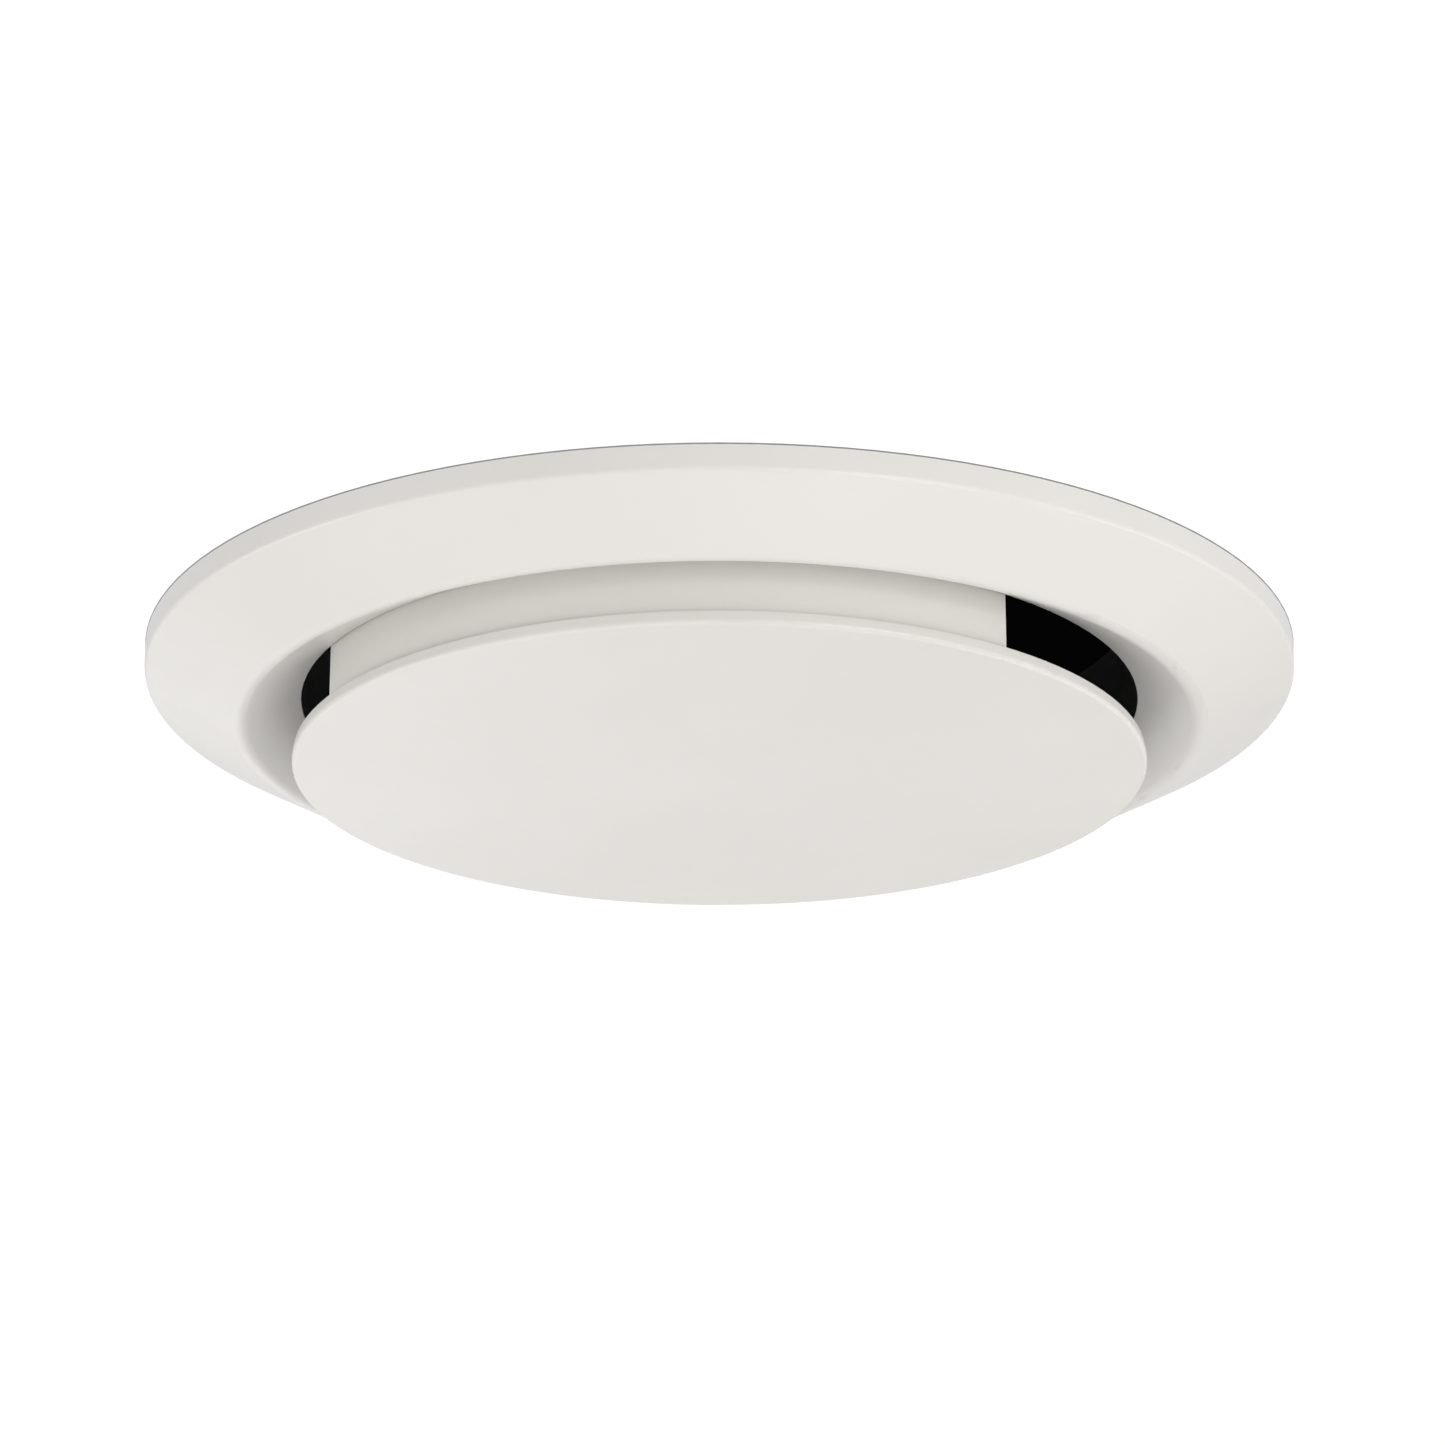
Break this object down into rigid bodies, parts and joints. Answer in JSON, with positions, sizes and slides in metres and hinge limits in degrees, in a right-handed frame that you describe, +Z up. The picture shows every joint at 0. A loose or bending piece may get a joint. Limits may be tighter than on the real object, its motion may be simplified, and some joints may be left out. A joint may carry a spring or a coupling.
{
  "type": "ceiling air diffuser",
  "caption": "Round ceiling air diffuser with a screw-adjusted centre disc, a directional baffle, a duct spigot and sprung ceiling clips.",
  "frame": {"origin": "centre of the ceiling opening, in the plane of the ceiling's lower face, which is also the top of the rim", "axes": "+Z up into the duct, along the spigot's axis; the disc and the room are towards -Z; the baffle is on the -Y side"},
  "size_m": [0.267, 0.2806, 0.0886],
  "materials": {
    "white_abs": "satin, warm white",
    "black_pp": "fine texture, black",
    "black_matt": "deep matt black, light-absorbing",
    "foam": "closed-cell foam, charcoal",
    "seal_rubber": "matt black",
    "sleeve_rubber": "matt black",
    "zinc_sheet": "zinc-plated sheet",
    "zinc_steel": "zinc-plated",
    "spring_steel": "plain spring steel",
    "brass_insert": "turned"
  },
  "bodies": {
    "housing": {"trim_ring": "white_abs", "ceiling_gasket": "foam", "ring_screws": "zinc_steel", "neck_housing": "black_pp", "bridge": "black_matt", "nut_insert": "brass_insert", "duct_collar": "black_matt", "duct_seal": "seal_rubber", "collar_screws": "zinc_steel", "clip_bracket_a": "zinc_sheet", "clip_pin_a": "zinc_steel", "clip_spring_a": "spring_steel", "clip_bracket_b": "zinc_sheet", "clip_pin_b": "zinc_steel", "clip_spring_b": "spring_steel", "clip_bracket_c": "zinc_sheet", "clip_pin_c": "zinc_steel", "clip_spring_c": "spring_steel"},
    "baffle_carriage": {"baffle": "white_abs", "baffle_carrier": "black_pp", "baffle_screws": "zinc_steel", "guide_pins": "zinc_steel"},
    "disc": {"face_disc": "white_abs", "disc_hub": "black_pp", "hub_screws": "zinc_steel", "spindle": "zinc_steel", "spindle_washer": "zinc_steel", "spindle_nut": "zinc_steel", "carrier_clip": "spring_steel", "stop_clip": "spring_steel", "friction_washer": "spring_steel"},
    "clip_a": {"clip_arm_a": "zinc_sheet", "clip_sleeve_a": "sleeve_rubber"},
    "clip_b": {"clip_arm_b": "zinc_sheet", "clip_sleeve_b": "sleeve_rubber"},
    "clip_c": {"clip_arm_c": "zinc_sheet", "clip_sleeve_c": "sleeve_rubber"}
  },
  "joints": [
    {"name": "disc_lift", "type": "slide", "parent": "housing", "child": "baffle_carriage", "axis": [0, 0, 1], "range_m": [-0.01, 0.0115]},
    {"name": "disc_turn", "type": "hinge", "parent": "baffle_carriage", "child": "disc", "pos_m": [0, 0, 0], "axis": [0, 0, 1], "range_deg": [-1800, 2070]},
    {"name": "clip_a_fold", "type": "hinge", "parent": "housing", "child": "clip_a", "pos_m": [0.0931, 0.05375, 0.031], "axis": [0.5, -0.866, 0], "range_deg": [0, 118], "stiffness_Nm_per_rad": 0.12, "springref_deg": -114.59, "deforming": ["clip_spring_a"]},
    {"name": "clip_b_fold", "type": "hinge", "parent": "housing", "child": "clip_b", "pos_m": [-0.0931, 0.05375, 0.031], "axis": [0.5, 0.866, 0], "range_deg": [0, 118], "stiffness_Nm_per_rad": 0.12, "springref_deg": -114.59, "deforming": ["clip_spring_b"]},
    {"name": "clip_c_fold", "type": "hinge", "parent": "housing", "child": "clip_c", "pos_m": [0, -0.1075, 0.031], "axis": [-1, 0, 0], "range_deg": [0, 118], "stiffness_Nm_per_rad": 0.12, "springref_deg": -114.59, "deforming": ["clip_spring_c"]}
  ],
  "couplings": [
    {"joint": "disc_lift", "follows": "disc_turn", "m_per_rad": 0.0003183}
  ]
}
